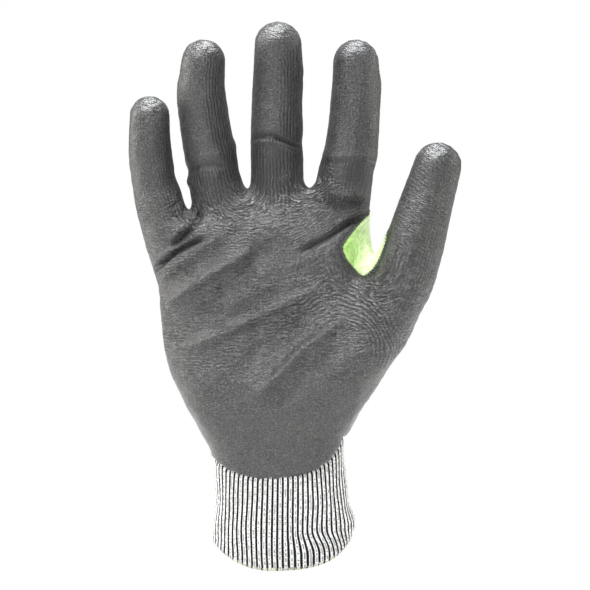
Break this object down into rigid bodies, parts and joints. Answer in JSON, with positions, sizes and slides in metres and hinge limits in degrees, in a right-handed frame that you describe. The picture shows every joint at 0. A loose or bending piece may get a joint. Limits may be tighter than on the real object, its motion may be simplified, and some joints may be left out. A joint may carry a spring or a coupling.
{
  "type": "cut resistant glove",
  "caption": "Right-hand knitted work glove with a dipped palm, a lime patch in the thumb crotch and a ribbed cuff; the wrist, knuckles, fingers and thumb bend.",
  "frame": {"origin": "centre of the cuff's open lower end, where the hand goes in", "axes": "+Z along the glove towards the fingertips, the palm faces -Y, the thumb points to +X"},
  "size_m": [0.1492, 0.0506, 0.2492],
  "materials": {
    "knit": "fine heather knit",
    "coating": "matte dipped foam with a fine pebble",
    "rib_knit": "white ribs with black grooves",
    "hem_thread": "pale yellow-green overlock thread",
    "elastic_yarn": "white covered elastic",
    "patch": "glossy lime, wrinkled"
  },
  "bodies": {
    "cuff": {"rib_cuff": "rib_knit", "overlock_hem": "hem_thread", "cuff_elastic": "elastic_yarn"},
    "hand": {"liner_hand": "knit", "coating_palm": "coating", "coating_wrist": "coating", "rib_cuff_wrist": "rib_knit"},
    "finger_base": {"liner_finger_base": "knit", "coating_finger_base": "coating", "coating_knuckles": "coating"},
    "index_middle": {"liner_index_middle": "knit", "coating_index_middle": "coating"},
    "index_tip": {"liner_index_tip": "knit", "coating_index_tip": "coating"},
    "middle_middle": {"liner_middle_middle": "knit", "coating_middle_middle": "coating"},
    "middle_tip": {"liner_middle_tip": "knit", "coating_middle_tip": "coating"},
    "ring_middle": {"liner_ring_middle": "knit", "coating_ring_middle": "coating"},
    "ring_tip": {"liner_ring_tip": "knit", "coating_ring_tip": "coating"},
    "little_middle": {"liner_little_middle": "knit", "coating_little_middle": "coating"},
    "little_tip": {"liner_little_tip": "knit", "coating_little_tip": "coating"},
    "thumb_base": {"liner_thumb_base": "knit", "coating_thumb_base": "coating", "thumb_crotch_patch": "patch"},
    "thumb_middle": {"liner_thumb_middle": "knit", "coating_thumb_middle": "coating"},
    "thumb_tip": {"liner_thumb_tip": "knit", "coating_thumb_tip": "coating"}
  },
  "joints": [
    {"name": "wrist", "type": "hinge", "parent": "cuff", "child": "hand", "pos_m": [0, 0, 0.0535], "axis": [1, 0, 0], "range_deg": [-45, 45], "stiffness_Nm_per_rad": 0.35, "deforming": ["rib_cuff_wrist", "coating_wrist"]},
    {"name": "knuckles", "type": "hinge", "parent": "hand", "child": "finger_base", "pos_m": [-0.012, 0, 0.149], "axis": [0.985, 0, 0.1724], "range_deg": [-15, 80], "stiffness_Nm_per_rad": 0.08, "deforming": ["coating_knuckles"]},
    {"name": "index_pip", "type": "hinge", "parent": "finger_base", "child": "index_middle", "pos_m": [0.03108, -0.00218, 0.18788], "axis": [0.9815, 0, -0.1917], "range_deg": [0, 90], "stiffness_Nm_per_rad": 0.012, "deforming": ["coating_index_middle"]},
    {"name": "index_dip", "type": "hinge", "parent": "index_middle", "child": "index_tip", "pos_m": [0.03379, -0.00444, 0.21276], "axis": [0.9983, 0, -0.0591], "range_deg": [0, 50], "stiffness_Nm_per_rad": 0.006, "deforming": ["coating_index_tip"]},
    {"name": "middle_pip", "type": "hinge", "parent": "finger_base", "child": "middle_middle", "pos_m": [-0.002, -0.00155, 0.19692], "axis": [1, 0, -0.0026], "range_deg": [0, 90], "stiffness_Nm_per_rad": 0.012, "deforming": ["coating_middle_middle"]},
    {"name": "middle_dip", "type": "hinge", "parent": "middle_middle", "child": "middle_tip", "pos_m": [-0.00166, -0.00379, 0.22176], "axis": [0.9999, 0, -0.0144], "range_deg": [0, 50], "stiffness_Nm_per_rad": 0.006, "deforming": ["coating_middle_tip"]},
    {"name": "ring_pip", "type": "hinge", "parent": "finger_base", "child": "ring_middle", "pos_m": [-0.03193, -0.00118, 0.18791], "axis": [0.9852, 0, 0.1717], "range_deg": [0, 90], "stiffness_Nm_per_rad": 0.012, "deforming": ["coating_ring_middle"]},
    {"name": "ring_dip", "type": "hinge", "parent": "ring_middle", "child": "ring_tip", "pos_m": [-0.03562, -0.00312, 0.21279], "axis": [0.998, 0, 0.0632], "range_deg": [0, 50], "stiffness_Nm_per_rad": 0.006, "deforming": ["coating_ring_tip"]},
    {"name": "little_pip", "type": "hinge", "parent": "finger_base", "child": "little_middle", "pos_m": [-0.05757, -0.00199, 0.17584], "axis": [0.9814, 0, 0.1918], "range_deg": [0, 90], "stiffness_Nm_per_rad": 0.012, "deforming": ["coating_little_middle"]},
    {"name": "little_dip", "type": "hinge", "parent": "little_middle", "child": "little_tip", "pos_m": [-0.05949, -0.00473, 0.19319], "axis": [0.9994, 0, 0.0355], "range_deg": [0, 50], "stiffness_Nm_per_rad": 0.006, "deforming": ["coating_little_tip"]},
    {"name": "thumb_root", "type": "hinge", "parent": "hand", "child": "thumb_base", "pos_m": [0.0333, -0.002, 0.105], "axis": [0.1467, 0, 0.9892], "range_deg": [-40, 10], "stiffness_Nm_per_rad": 0.05, "deforming": ["coating_thumb_base", "thumb_crotch_patch"]},
    {"name": "thumb_mcp", "type": "hinge", "parent": "thumb_base", "child": "thumb_middle", "pos_m": [0.05348, -0.01277, 0.12913], "axis": [-0.7167, 0.5697, 0.4022], "range_deg": [-45, 0], "stiffness_Nm_per_rad": 0.02, "deforming": ["coating_thumb_middle"]},
    {"name": "thumb_ip", "type": "hinge", "parent": "thumb_middle", "child": "thumb_tip", "pos_m": [0.06398, -0.0183, 0.16313], "axis": [-0.754, 0.5993, 0.2688], "range_deg": [-65, 0], "stiffness_Nm_per_rad": 0.012, "deforming": ["coating_thumb_tip"]}
  ]
}
